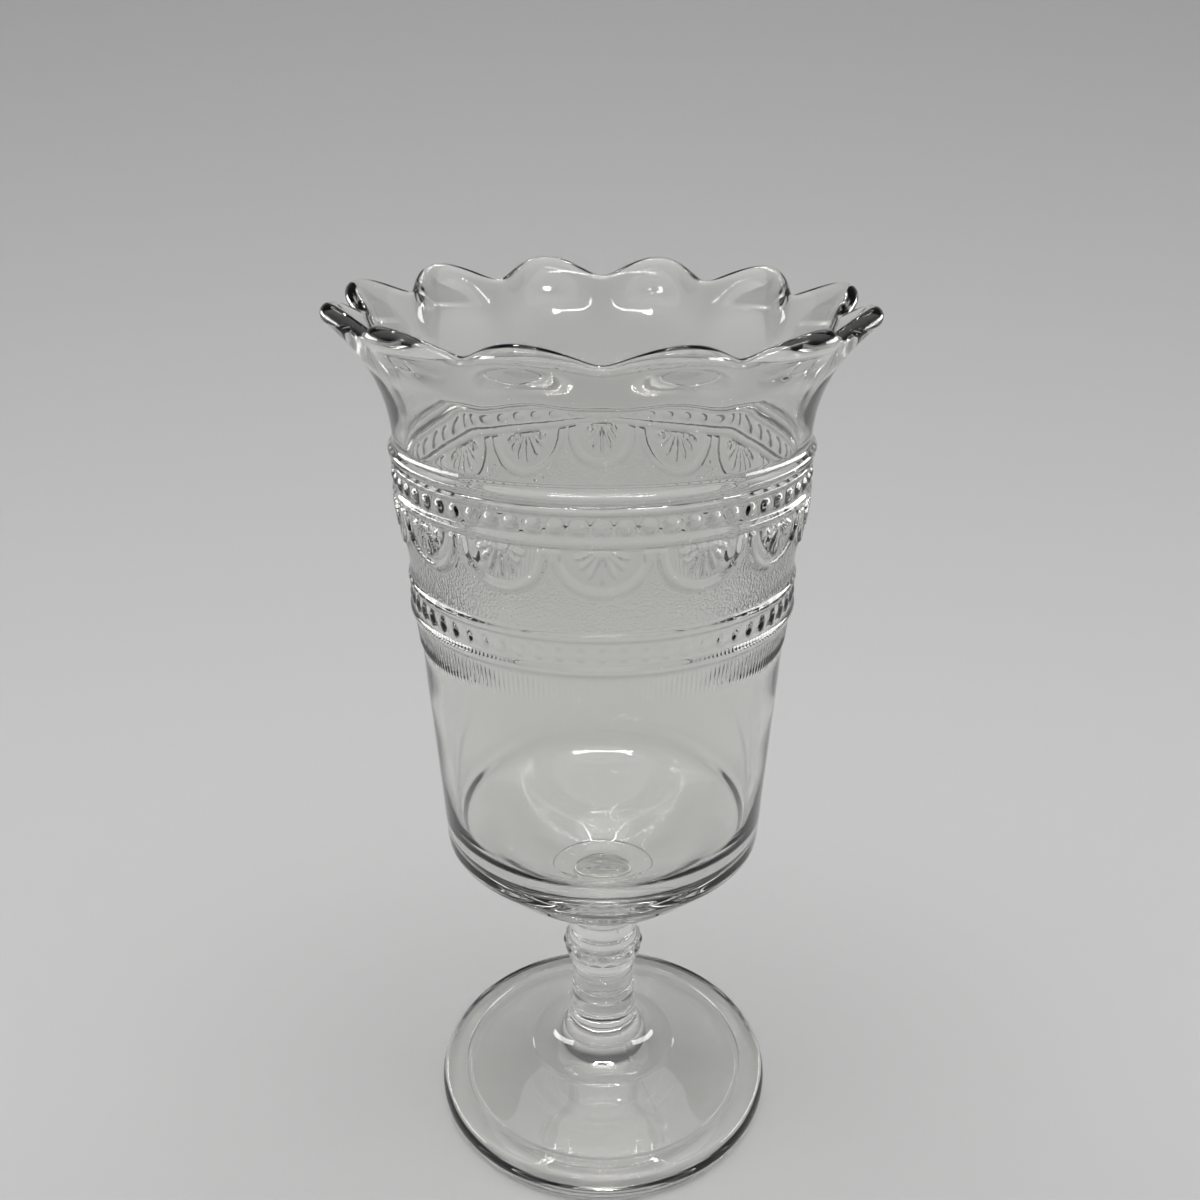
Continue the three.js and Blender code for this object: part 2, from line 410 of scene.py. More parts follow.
def finish_piece(solid, node, glass):
    solid.data.materials.append(glass)
    solid.data.materials.append(FUSED_JOINT)
    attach(solid, "root")
    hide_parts(node)


foot = glass_solid("pressed_foot", foot_rings(), fused_bottom=False, fused_top=True)
foot_glass = clear_glass("Foot glass", FOOT_CLEAR_TINT, FOOT_THICK_TINT,
                         waves=0.05, peel=0.004, wear=0.5)
finish_piece(foot, "foot", foot_glass)


# The stem is a solid pressed column on a thin collar, with a knop that carries a row of sixteen
# beads between two undercuts. It was pressed in one with the foot, so the same seam runs on up
# its side.

STEM_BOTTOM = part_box("stem")[0].z / MM
STEM_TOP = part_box("stem")[1].z / MM
STEM_RADIUS = 8.95
COLLAR_STRAIGHT = 1.1
COLLAR_ROUNDING = (0.5, 0.7)
COLLAR_TOP = STEM_BOTTOM + 1.8
STEM_STEP = STEM_BOTTOM + 9.0
STEM_STEP_RADIUS = 9.35
STEM_STEP_ROUNDING = (0.4, 0.5)
STEM_STEP_TURN = 80
STEM_STEP_GAP = 0.1
STEM_LINE = STEM_BOTTOM + 13.9
STEM_LINE_PROUD = 0.1
STEM_LINE_HALF_HEIGHT = 0.4
KNOP_BOTTOM = STEM_BOTTOM + 16.1
KNOP_BEAD_ROW = STEM_BOTTOM + 23.1
KNOP_TOP = STEM_BOTTOM + 29.0
NECK_RING = STEM_BOTTOM + 33.8
NECK_RING_HALF_HEIGHT = 0.9
NECK_RING_PROUD = 0.3
NECK_SWELL = 0.05

# Outlines as distances out from the column and up from the collar's top or the knop's heights.
COLUMN_FOOT = ((0.5, 0.0), (0.35, 0.8))
KNOP_UNDERSIDE = ((0.0, 0.0), (0.55, 0.5), (0.75, 1.8), (1.25, 3.4), (2.0, 4.2))
KNOP_BAND_BOTTOM = (2.05, -1.5)
KNOP_BAND_TOP = (2.05, 1.2)
KNOP_SHOULDER = ((2.1, 1.3), (1.9, 1.8), (1.2, 2.2), (0.9, 3.4))
KNOP_CROWN = ((1.0, -2.0), (0.85, -1.2), (0.3, -0.5), (0.0, 0.0))

KNOP_BEADS = 16
KNOP_BEAD_HALF_WIDTH = 1.95
KNOP_BEAD_HALF_HEIGHT = 1.55
KNOP_BEAD_PROUD = 0.75
BEAD_SOFTNESS = 0.75

STEM_COLUMNS = 320
STEM_CURVE_STEPS = 4
COLLAR_STEPS = 5
STEM_NECK_STEPS = 5
KNOP_BAND_STEPS = 12
STEM_CLEAR_TINT = (0.975, 0.98, 0.965)
STEM_THICK_TINT = (0.96, 0.965, 0.945)


def from_column(height, points):
    """Points given by their distances out from the column and up from this height."""
    return [(STEM_RADIUS + out, height + up) for out, up in points]


def bead(across, up, half_width, half_height):
    """The height of a rounded bead, from 0 to 1, at this distance from its middle."""
    out = (across / half_width) ** 2 + (up / half_height) ** 2
    return (1 - out) ** BEAD_SOFTNESS if out < 1 else 0.0


def knop_beaded(radius, height, angle):
    off = math.remainder(angle, FULL_TURN / KNOP_BEADS) * radius
    proud = KNOP_BEAD_PROUD * bead(off, height - KNOP_BEAD_ROW,
                                   KNOP_BEAD_HALF_WIDTH, KNOP_BEAD_HALF_HEIGHT)
    return radius + proud, height


def stem_column():
    """The collar and the column with its step and its fine raised line, up to the knop."""
    collar_edge = STEM_BOTTOM + COLLAR_STRAIGHT
    step_edge = STEM_STEP - STEM_STEP_ROUNDING[1]
    line = straight((COLLAR_RADIUS, STEM_BOTTOM), (COLLAR_RADIUS, collar_edge), STEM_CURVE_STEPS)
    line += corner((COLLAR_RADIUS - COLLAR_ROUNDING[0], collar_edge), 0, 90,
                   COLLAR_ROUNDING, COLLAR_STEPS)
    line += smooth(from_column(COLLAR_TOP, COLUMN_FOOT) + [(STEM_STEP_RADIUS, step_edge)],
                   COLLAR_STEPS)
    line += corner((STEM_STEP_RADIUS - STEM_STEP_ROUNDING[0], step_edge), 0, STEM_STEP_TURN,
                   STEM_STEP_ROUNDING, STEM_CURVE_STEPS)
    line += smooth([(STEM_RADIUS, STEM_STEP + STEM_STEP_GAP),
                    (STEM_RADIUS, STEM_LINE - STEM_LINE_HALF_HEIGHT),
                    (STEM_RADIUS + STEM_LINE_PROUD, STEM_LINE),
                    (STEM_RADIUS, STEM_LINE + STEM_LINE_HALF_HEIGHT),
                    (STEM_RADIUS, KNOP_BOTTOM)], STEM_CURVE_STEPS)
    return line


def stem_rings():
    band_bottom, band_top = from_column(KNOP_BEAD_ROW, (KNOP_BAND_BOTTOM, KNOP_BAND_TOP))
    underside = smooth(from_column(KNOP_BOTTOM, KNOP_UNDERSIDE) + [band_bottom], STEM_CURVE_STEPS)
    band = straight(band_bottom, band_top, KNOP_BAND_STEPS)
    shoulder = smooth(from_column(KNOP_BEAD_ROW, KNOP_SHOULDER)
                      + from_column(KNOP_TOP, KNOP_CROWN), STEM_CURVE_STEPS)
    neck = smooth([(STEM_RADIUS, KNOP_TOP),
                   (STEM_RADIUS + NECK_SWELL, NECK_RING - NECK_RING_HALF_HEIGHT),
                   (STEM_RADIUS + NECK_RING_PROUD, NECK_RING),
                   (STEM_RADIUS + NECK_SWELL, NECK_RING + NECK_RING_HALF_HEIGHT),
                   (STEM_RADIUS, STEM_TOP)], STEM_NECK_STEPS) + [(STEM_RADIUS, STEM_TOP)]
    rings = [joint_middle(STEM_BOTTOM, 1)]
    rings += turned(stem_column() + underside, STEM_COLUMNS, seamed)
    rings += turned(band, STEM_COLUMNS, knop_beaded)
    rings += turned(shoulder + neck, STEM_COLUMNS, seamed)
    return rings + [joint_middle(STEM_TOP, -1)]


stem_glass = clear_glass("Stem glass", STEM_CLEAR_TINT, STEM_THICK_TINT,
                         waves=0.04, peel=0.003, wear=0.15)
stem = glass_solid("beaded_stem", stem_rings(), fused_bottom=True, fused_top=True)
finish_piece(stem, "stem", stem_glass)


# The wafer is the button of hot glass that joins the stem to the bowl. It was worked by hand, so
# it has no seam, and it spreads from the neck of the stem to the bowl's underside.

WAFER_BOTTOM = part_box("wafer")[0].z / MM
WAFER_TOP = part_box("wafer")[1].z / MM
WAFER_RADIUS = 16.7
WAFER_EDGE = 0.9
WAFER_COLUMNS = 240
WAFER_STEPS = 14
WAFER_EDGE_STEPS = 5


def wafer_outline():
    half_edge = WAFER_EDGE / 2
    line = []
    for i in range(WAFER_STEPS):
        share = i / WAFER_STEPS
        line.append((mix(STEM_RADIUS, WAFER_RADIUS - half_edge, share * share),
                     mix(WAFER_BOTTOM, WAFER_TOP - WAFER_EDGE, share)))
    line += corner((WAFER_RADIUS - half_edge, WAFER_TOP - half_edge), -90, 0,
                   (half_edge, half_edge), WAFER_EDGE_STEPS)
    return line + [(WAFER_RADIUS, WAFER_TOP)]


wafer_rings = [joint_middle(WAFER_BOTTOM, 1)]
wafer_rings += turned(wafer_outline(), WAFER_COLUMNS)
wafer_rings += [joint_middle(WAFER_TOP, -1)]
wafer = glass_solid("joining_wafer", wafer_rings, fused_bottom=True, fused_top=True)
finish_piece(wafer, "wafer", stem_glass)


# The bowl was pressed in one piece with its ornament: a band of fine ribs, two pairs of rings
# with a row of beads between each pair, and a panel of loops with leaf fans on stippled ground.
# The flared rim was drawn out hot.

BOWL_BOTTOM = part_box("bowl")[0].z / MM
BASE_TOP = BOWL_BOTTOM + 24.0
BASE_LINE = BASE_TOP + 3.9
BASE_RADIUS = 43.9
RIBS_BOTTOM = BASE_TOP + 58.9
RIBS_RADIUS = 47.85
RIBS_TOP_RADIUS = 48.75
RIBS = 240
RIB_PROUD = 0.26
RIB_FADE = 0.8
ORNAMENT_BOTTOM = RIBS_BOTTOM + 8.6
ORNAMENT_RADIUS = 49.2
ORNAMENT_TOP_RADIUS = 51.7
RING_HEIGHT = 2.6
RING_PROUD = 0.75
RING_SOFTNESS = 0.6
LOWER_BEADS = ORNAMENT_BOTTOM + RING_HEIGHT
LOWER_BEADS_HEIGHT = 5.6
LOWER_RING = LOWER_BEADS + LOWER_BEADS_HEIGHT
PANEL_BOTTOM = LOWER_RING + RING_HEIGHT
PANEL_HEIGHT = 20.6
PANEL_TOP = PANEL_BOTTOM + PANEL_HEIGHT
PANEL_FADE = 0.4
UPPER_BEADS = PANEL_TOP + RING_HEIGHT
UPPER_BEADS_HEIGHT = 4.8
TOP_ROLL = UPPER_BEADS + UPPER_BEADS_HEIGHT
TOP_ROLL_HEIGHT = 5.6
TOP_ROLL_PROUD = 1.35
TOP_ROLL_SOFTNESS = 1.0
TOP_FILLET_HEIGHT = 1.8
TOP_FILLET_PROUD = 0.7
FLARE_BOTTOM = TOP_ROLL + TOP_ROLL_HEIGHT
BEADS = 64
LOWER_BEAD_HALF_WIDTH = 1.6
LOWER_BEAD_HALF_HEIGHT = 1.9
LOWER_BEAD_PROUD = 0.55
UPPER_BEAD_HALF_WIDTH = 1.85
UPPER_BEAD_HALF_HEIGHT = 1.75
UPPER_BEAD_PROUD = 0.8
WALL = 2.8
FLOOR_THICKNESS = 9.6
FLOOR_CENTRE_RADIUS = 8
FLOOR_CENTRE_RISE = 0.1
FLOOR_MIDDLE_START = 10

# The underside as shares of the way out from the wafer and up to the base, the base's edge as
# distances out from it and heights, the wall outside as radii and heights over the base, and the
# floor inside as radii and heights over the bowl's bottom.
UNDERSIDE = ((0.0, 0.0), (0.24, 0.14), (0.40, 0.26), (0.60, 0.46), (0.76, 0.64), (0.925, 0.825),
             (0.985, 0.91), (1.0, 1.0))
BASE_EDGE = ((0.0, BASE_TOP), (0.03, BASE_TOP + 1.8), (0.05, BASE_LINE - 0.2),
             (0.22, BASE_LINE + 0.1))
WALL_OUTSIDE = ((44.25, 6.3), (44.8, 15.8), (45.55, 26.8), (46.15, 36.3), (46.85, 45.8),
                (47.4, 54.8))
INSIDE_AT_RIBS = 45.1
FLOOR_INSIDE = ((43.1, 57.8), (41.6, 38.8), (40.6, 30.8), (38, 25.3), (34.4, 21.8), (30, 18.8),
                (25, 15.9), (20, 13.6), (15, 11.8))

LOOPS = 14
LOOP_CENTRE_DROP = 1.2
LOOP_INNER = (8.8, 8.4)
LOOP_OUTER = (11.2, 10.5)
LOOP_PROUD = 0.7
LOOP_INNER_SLOPE = 0.9
LOOP_INNER_START = 0.1
LOOP_OUTER_SLOPE = 0.35
LOOP_OUTER_START = 0.3
LOOP_STEP_WIDTH = 1.3
LOOP_STEP_PROUD = 0.15
LOOP_STEP_SLOPE = 0.3
PETAL_ANGLES = (-69, -46, -23, 0, 23, 46, 69)
PETAL_LENGTH = 8.4
PETAL_SIDE_LENGTH = 6.4
PETAL_HALF_WIDTH = 0.75
PETAL_ROOT_WIDTH = 0.25
PETAL_SWELL = 0.8
PETAL_TIP = 2.2
PETAL_ROOT_SLOPE = 5
PETAL_PROUD = 0.75
FAN_RAISE = 0.3
STIPPLE_MARGIN = 0.3

FLARE_HEIGHT = 26.9
FLARE_REACH = 7.1
FLARE_UPRIGHT = 12.8
FLARE_TURN = 9.5
FLARE_THINNING = 0.8
FLARE_THINNING_END = 0.75
SCALLOPS = 12
VALLEY_SOFTNESS = 0.28
SCALLOP_REACH = 6.4
SCALLOP_SHARPNESS = 1.1
SCALLOP_RISE = 2.35
VALLEY_SLOPE = math.radians(72)
SCALLOP_SLOPE = math.radians(39)
VALLEY_LIP = 1.1
SCALLOP_LIP = 3.1
LIP_START = 0.6
FRONT_DIP = 1.2
RIGHT_DIP = 0.6

PLAIN_COLUMNS = 160
FLOOR_COLUMNS = 80
FLOOR_MIDDLE_COLUMNS = 40
RIB_COLUMNS = RIBS * 5
ORNAMENT_COLUMNS = BEADS * LOOPS
FLARE_COLUMNS = SCALLOPS * 32
WALL_STEPS = 3
RIB_STEPS = 8
RING_STEPS = 5
BEAD_STEPS = 9
PANEL_STEPS = 35
FILLET_STEPS = 4
ROLL_STEPS = 8
FLARE_STEPS = 20
LIP_STEPS = 10
FLARE_INSIDE_STEPS = 16
BOWL_CLEAR_TINT = (0.915, 0.92, 0.9)
BOWL_THICK_TINT = (0.895, 0.9, 0.875)


def ribbed(radius, height, angle):
    into = min(height - RIBS_BOTTOM, ORNAMENT_BOTTOM - height) / RIB_FADE
    crest = 0.5 + 0.5 * math.cos(RIBS * angle)
    return radius + RIB_PROUD * crest * eased(into), height


def beaded(row_middle, half_width, half_height, proud):
    """Relief for a row of beads round the wall."""
    def relief(radius, height, angle):
        off = math.remainder(angle, FULL_TURN / BEADS) * radius
        return radius + proud * bead(off, height - row_middle, half_width, half_height), height
    return relief


def petal(across, down, tilt):
    """The height of one leaf of a fan, which leaves the underside of the ring above at this tilt
    from straight down."""
    along = down * math.cos(tilt) + across * math.sin(tilt)
    aside = across * math.cos(tilt) - down * math.sin(tilt)
    share = along / mix(PETAL_LENGTH, PETAL_SIDE_LENGTH, abs(math.sin(tilt)))
    if not 0 < share < 1:
        return 0.0
    swell = mix(PETAL_ROOT_WIDTH, 1, share ** PETAL_SWELL)
    width = PETAL_HALF_WIDTH * swell * min(1.0, math.sqrt(1 - share) * PETAL_TIP)
    off = (aside / width) ** 2
    return math.sqrt(1 - off) * min(1.0, share * PETAL_ROOT_SLOPE) if off < 1 else 0.0


def loop_shape(across, down):
    """Relief of one loop and its fan, and whether the ground here is stippled."""
    below = max(0.0, down - LOOP_CENTRE_DROP)
    inner = (math.hypot(across / LOOP_INNER[0], below / LOOP_INNER[1]) - 1) * LOOP_INNER[1]
    outer = (1 - math.hypot(across / LOOP_OUTER[0], below / LOOP_OUTER[1])) * LOOP_OUTER[1]
    inner_side = eased(inner / LOOP_INNER_SLOPE + LOOP_INNER_START)
    outer_side = eased(outer / LOOP_OUTER_SLOPE + LOOP_OUTER_START)
    proud = LOOP_STEP_PROUD * eased((outer + LOOP_STEP_WIDTH) / LOOP_STEP_SLOPE)
    if outer > 0:
        proud = max(proud, LOOP_PROUD * inner_side * outer_side)
    if inner < 0:
        leaf = max(petal(across, down + FAN_RAISE, math.radians(tilt)) for tilt in PETAL_ANGLES)
        proud = max(0.0, PETAL_PROUD * leaf, LOOP_PROUD * inner_side)
    return proud, 1.0 if outer < -LOOP_STEP_WIDTH else 0.0


def looped(radius, height, angle):
    across = math.remainder(angle, FULL_TURN / LOOPS) * radius
    proud, _ = loop_shape(across, PANEL_TOP - height)
    into = min(PANEL_TOP - height, height - PANEL_BOTTOM) / PANEL_FADE
    return radius + proud * eased(into), height


def panel_radius(height):
    share = (height - PANEL_BOTTOM) / PANEL_HEIGHT
    return mix(ORNAMENT_RADIUS, ORNAMENT_TOP_RADIUS, eased(share))


def raised_ring(radius, bottom, height=RING_HEIGHT, proud=RING_PROUD, steps=RING_STEPS,
                softness=RING_SOFTNESS):
    """A half-round ring on the wall, without its upper foot. At softness 1 its feet run out
    into the wall."""
    return [(radius + proud * math.sin(math.pi * i / steps) ** softness,
             bottom + height * i / steps) for i in range(steps)]


def curve_point(pull, share):
    """A point on the curve that these four points pull, and the curve's direction there."""
    rest = 1 - share
    point = (pull[0] * rest ** 3 + pull[1] * 3 * rest * rest * share
             + pull[2] * 3 * rest * share * share + pull[3] * share ** 3)
    along = ((pull[1] - pull[0]) * rest * rest + (pull[2] - pull[1]) * 2 * rest * share
             + (pull[3] - pull[2]) * share * share)
    return point, along.normalized()


def drawn_rim(share, depth, past, angle):
    """A point of the flare: its share of the way up the wall, its share of the wall's thickness,
    and how far it stands past the wall's end on the rounded lip, as a share of the lip."""
    wave = math.sin(SCALLOPS * angle / 2)
    lobe = math.hypot(wave, VALLEY_SOFTNESS) - VALLEY_SOFTNESS
    lobe /= math.hypot(1, VALLEY_SOFTNESS) - VALLEY_SOFTNESS
    wide_lobe = wave ** 2
    lip_radius = ORNAMENT_TOP_RADIUS + FLARE_REACH
    lip_height = FLARE_BOTTOM + FLARE_HEIGHT
    lip = Vector((lip_radius + SCALLOP_REACH * lobe ** SCALLOP_SHARPNESS,
                  lip_height + SCALLOP_RISE * lobe))
    below_lip = Vector((lip_radius + SCALLOP_REACH * wide_lobe,
                        lip_height + SCALLOP_RISE * wide_lobe))
    slope = mix(VALLEY_SLOPE, SCALLOP_SLOPE, wide_lobe)
    point, along = curve_point([
        Vector((ORNAMENT_TOP_RADIUS, FLARE_BOTTOM)),
        Vector((ORNAMENT_TOP_RADIUS, FLARE_BOTTOM + FLARE_UPRIGHT)),
        below_lip - FLARE_TURN * Vector((math.cos(slope), math.sin(slope))),
        lip,
    ], share)
    inward = Vector((-along.y, along.x))
    thickness = WALL - FLARE_THINNING * eased(share / FLARE_THINNING_END)
    thickness += mix(VALLEY_LIP, SCALLOP_LIP, lobe) * eased((share - LIP_START) / (1 - LIP_START))
    point += inward * depth * thickness + along * past * thickness
    dip = (FRONT_DIP * math.cos(angle) + RIGHT_DIP * math.sin(angle)) * share
    return point.x, point.y - dip


def rim_ring(share, depth, past):
    return ring(0, 0, FLARE_COLUMNS,
                lambda _radius, _height, angle: drawn_rim(share, depth, past, angle))


def base_and_wall():
    """The bowl's outside, from the edge of the wafer to the rib band."""
    line = smooth([(mix(WAFER_RADIUS, BASE_RADIUS, out), mix(BOWL_BOTTOM, BASE_TOP, up))
                   for out, up in UNDERSIDE], WALL_STEPS)
    line += [(BASE_RADIUS + out, height) for out, height in BASE_EDGE]
    wall = [(radius, BASE_TOP + up) for radius, up in WALL_OUTSIDE]
    return line + smooth(wall + [(RIBS_RADIUS, RIBS_BOTTOM)], WALL_STEPS)


def outer_rings():
    """The bowl's outside, from the edge of the wafer to the foot of the flare."""
    ribs = straight((RIBS_RADIUS, RIBS_BOTTOM), (RIBS_TOP_RADIUS, ORNAMENT_BOTTOM), RIB_STEPS)
    lower_band = straight((ORNAMENT_RADIUS, LOWER_BEADS), (ORNAMENT_RADIUS, LOWER_RING), BEAD_STEPS)
    upper_band = straight((ORNAMENT_TOP_RADIUS, UPPER_BEADS), (ORNAMENT_TOP_RADIUS, TOP_ROLL),
                          BEAD_STEPS)
    lower_bead = beaded(LOWER_BEADS + LOWER_BEADS_HEIGHT / 2,
                        LOWER_BEAD_HALF_WIDTH, LOWER_BEAD_HALF_HEIGHT, LOWER_BEAD_PROUD)
    upper_bead = beaded(UPPER_BEADS + UPPER_BEADS_HEIGHT / 2,
                        UPPER_BEAD_HALF_WIDTH, UPPER_BEAD_HALF_HEIGHT, UPPER_BEAD_PROUD)
    heights = [PANEL_BOTTOM + PANEL_HEIGHT * i / PANEL_STEPS for i in range(PANEL_STEPS)]
    panel = [(panel_radius(height), height) for height in heights]
    top_roll = raised_ring(ORNAMENT_TOP_RADIUS, TOP_ROLL, TOP_FILLET_HEIGHT, TOP_FILLET_PROUD,
                           FILLET_STEPS)
    top_roll += raised_ring(ORNAMENT_TOP_RADIUS, TOP_ROLL + TOP_FILLET_HEIGHT,
                            TOP_ROLL_HEIGHT - TOP_FILLET_HEIGHT, TOP_ROLL_PROUD, ROLL_STEPS,
                            TOP_ROLL_SOFTNESS)
    rings = turned(base_and_wall(), PLAIN_COLUMNS)
    rings += turned(ribs, RIB_COLUMNS, ribbed)
    rings += turned(raised_ring(ORNAMENT_RADIUS, ORNAMENT_BOTTOM), ORNAMENT_COLUMNS)
    rings += turned(lower_band, ORNAMENT_COLUMNS, lower_bead)
    rings += turned(raised_ring(ORNAMENT_RADIUS, LOWER_RING), ORNAMENT_COLUMNS)
    rings += turned(panel, ORNAMENT_COLUMNS, looped)
    rings += turned(raised_ring(ORNAMENT_TOP_RADIUS, PANEL_TOP), ORNAMENT_COLUMNS)
    rings += turned(upper_band, ORNAMENT_COLUMNS, upper_bead)
    return rings + turned(top_roll, FLARE_COLUMNS)


def rim_rings():
    """The flare's outside, the rounded lip, and the flare's inside."""
    rings = [rim_ring(i / FLARE_STEPS, 0, 0) for i in range(FLARE_STEPS + 1)]
    for i in range(1, LIP_STEPS):
        turn = math.pi * i / LIP_STEPS
        rings.append(rim_ring(1, 0.5 - 0.5 * math.cos(turn), 0.5 * math.sin(turn)))
    return rings + [rim_ring(1 - i / FLARE_INSIDE_STEPS, 1, 0)
                    for i in range(FLARE_INSIDE_STEPS + 1)]


def inner_rings():
    """The plunger's smooth side, from the foot of the flare to the floor."""
    floor = BOWL_BOTTOM + FLOOR_THICKNESS
    line = [(ORNAMENT_TOP_RADIUS - WALL, FLARE_BOTTOM - 2),
            (ORNAMENT_TOP_RADIUS - WALL, PANEL_TOP),
            (ORNAMENT_RADIUS - WALL, ORNAMENT_BOTTOM),
            (INSIDE_AT_RIBS, RIBS_BOTTOM)]
    line += [(radius, BOWL_BOTTOM + up) for radius, up in FLOOR_INSIDE]
    line.append((FLOOR_CENTRE_RADIUS, floor + FLOOR_CENTRE_RISE))
    plain = [point for point in smooth(line, WALL_STEPS) if point[0] > FLOOR_MIDDLE_START]
    return turned(plain, PLAIN_COLUMNS) + [
        ring(FLOOR_CENTRE_RADIUS, floor + FLOOR_CENTRE_RISE, FLOOR_COLUMNS),
        ring(FLOOR_CENTRE_RADIUS / 2, floor, FLOOR_MIDDLE_COLUMNS),
        middle_point(floor),
    ]


def stipple_ground(bowl):
    """Marks the ground between the loops, where the glass takes the mould's stipple."""
    values = []
    for vertex in bowl.data.vertices:
        x, y, height = vertex.co.x / MM, vertex.co.y / MM, vertex.co.z / MM
        radius = math.hypot(x, y)
        on_panel = (PANEL_BOTTOM + STIPPLE_MARGIN < height < PANEL_TOP - STIPPLE_MARGIN
                    and radius > panel_radius(height) - WALL / 2)
        across = math.remainder(math.atan2(x, -y), FULL_TURN / LOOPS) * radius
        values.append(loop_shape(across, PANEL_TOP - height)[1] if on_panel else 0.0)
    stippled = bowl.data.attributes.new("stippled", "FLOAT", "POINT")
    stippled.data.foreach_set("value", values)


bowl_rings = [joint_middle(BOWL_BOTTOM, 1)] + outer_rings() + rim_rings() + inner_rings()
bowl = glass_solid("pressed_bowl", bowl_rings, fused_bottom=True, fused_top=False)
stipple_ground(bowl)
bowl_glass = clear_glass("Bowl glass", BOWL_CLEAR_TINT, BOWL_THICK_TINT,
                         waves=0.03, peel=0.002, wear=0.12, stipple=0.25)
finish_piece(bowl, "bowl", bowl_glass)


# The studio is a pale paper sweep under a soft ceiling light, with painted shade in the paper's
# colour: darker towards the front and high up the sweep. Rows of small lamps above the vase
# and a low bright panel at each side show in the glass alone, as its small bright marks.

SWEEP_WIDTH = 3.2
SWEEP_FRONT = -1.6
SWEEP_BACK = 0.75
SWEEP_CURVE = 0.45
SWEEP_CURVE_STEPS = 16
SWEEP_TOP = 1.7
FLOOR_GAP = 0.00005

# Each painted shade of the paper runs along an axis between two places, from one grey to another:
# painted shade darkens the paper towards the front, and darkens the sweep high up. The room's
# light is shaded in the same way, over the Z or the Y of a direction.
PAPER_PAINTED_SHADES = (("Y", -0.35, 0.0, 0.28, 0.62), ("Z", 0.4, 0.7, 0.62, 0.16))
PAPER_ROUGHNESS = 0.9
PAPER_GLOSS = 0.1

LAMP_HEIGHT = 0.62
LAMP_ROWS = (
    ((-0.17, -0.235), (0.17, -0.235)), ((-0.17, -0.25), (0.17, -0.25)),
    ((-0.10, 0.18), (0.10, 0.18)),
    ((-0.10, 0.18), (-0.05, 0.42)), ((0.10, 0.18), (0.05, 0.42)),
    ((-0.05, 0.42), (0.05, 0.42)),
)
LAMP_PITCH = 0.0125
LAMP_SIZE = 0.008
LAMP_STRENGTH = 70
LAMP_COLOUR = (1, 0.99, 0.97, 1)
SIDE_PANEL_PLACE = (0.68, 0.24, 0.27)
SIDE_PANEL_HALF_LENGTH = 0.40
SIDE_PANEL_HALF_HEIGHT = 0.08
SIDE_PANEL_LEAN = 0.03
SIDE_PANEL_STRENGTH = 10
CEILING_PLACE = (0, 0.1, 1.3)
CEILING_SIZE = (1.1, 0.9)
CEILING_POWER = 3.6
CEILING_AIM = (0, 0, 0.12)
ROOM_STRENGTH = 0.6
ROOM_OVERHEAD = (0.1, 0.95, 0.5, 2.4)
ROOM_NOT_FRONT = (-0.7, -0.2, 0.25, 1.0)
ROOM_HIGH_UP = (0.55, 0.85, 0.0, 1.0)


def paper_with_painted_shade():
    material = bpy.data.materials.new("Pale paper with painted shade")
    material.use_nodes = True
    tree = material.node_tree
    shader = tree.nodes["Principled BSDF"]
    shader.inputs["Roughness"].default_value = PAPER_ROUGHNESS
    shader.inputs["Specular IOR Level"].default_value = PAPER_GLOSS
    place = add_node(tree, "ShaderNodeTexCoord")
    split = add_node(tree, "ShaderNodeSeparateXYZ")
    tree.links.new(place.outputs["Object"], split.inputs[0])
    # Painted shade: the paper's grey falls towards the front and high up the sweep, standing in for
    # shadow and fading light.
    painted_shades = [ranged(tree, split.outputs[axis], start, end, low, high, "SMOOTHSTEP")
              for axis, start, end, low, high in PAPER_PAINTED_SHADES]
    tree.links.new(combined(tree, "MINIMUM", *painted_shades), shader.inputs["Base Color"])
    return material


def add_stage(name, points, faces, material):
    """Something of the studio, which is no part of the vase."""
    mesh = bpy.data.meshes.new(name)
    mesh.from_pydata(points, [], faces)
    mesh.materials.append(material)
    piece = bpy.data.objects.new(name, mesh)
    bpy.context.collection.objects.link(piece)
    return piece


def paper_sweep():
    line = [(SWEEP_FRONT, 0.0)]
    for i in range(SWEEP_CURVE_STEPS + 1):
        turn = math.pi / 2 * i / SWEEP_CURVE_STEPS
        line.append((SWEEP_BACK - SWEEP_CURVE + SWEEP_CURVE * math.sin(turn),
                     SWEEP_CURVE * (1 - math.cos(turn))))
    line.append((SWEEP_BACK, SWEEP_TOP))
    half = SWEEP_WIDTH / 2
    points = [(x, y, z - FLOOR_GAP) for y, z in line for x in (-half, half)]
    faces = [(2 * i, 2 * i + 1, 2 * i + 3, 2 * i + 2) for i in range(len(line) - 1)]
    sweep = add_stage("paper_sweep", points, faces, paper_with_painted_shade())
    sweep.data.polygons.foreach_set("use_smooth", [True] * len(faces))


def glowing(name, strength, squares, through_glass):
    """Flat lamps, each a middle, and half of its two sides as vectors, that show in the glass
    alone: through it and in its gloss, or in its gloss only."""
    material = bpy.data.materials.new(name)
    material.use_nodes = True
    shader = material.node_tree.nodes["Principled BSDF"]
    shader.inputs["Base Color"].default_value = (0, 0, 0, 1)
    shader.inputs["Emission Color"].default_value = LAMP_COLOUR
    shader.inputs["Emission Strength"].default_value = strength
    points, faces = [], []
    for middle, side, rise in squares:
        middle, side, rise = Vector(middle), Vector(side), Vector(rise)
        faces.append(tuple(range(len(points), len(points) + 4)))
        points += [middle - side - rise, middle + side - rise,
                   middle + side + rise, middle - side + rise]
    lamps = add_stage(name, points, faces, material)
    lamps.visible_diffuse = lamps.visible_camera = False
    lamps.visible_transmission = through_glass


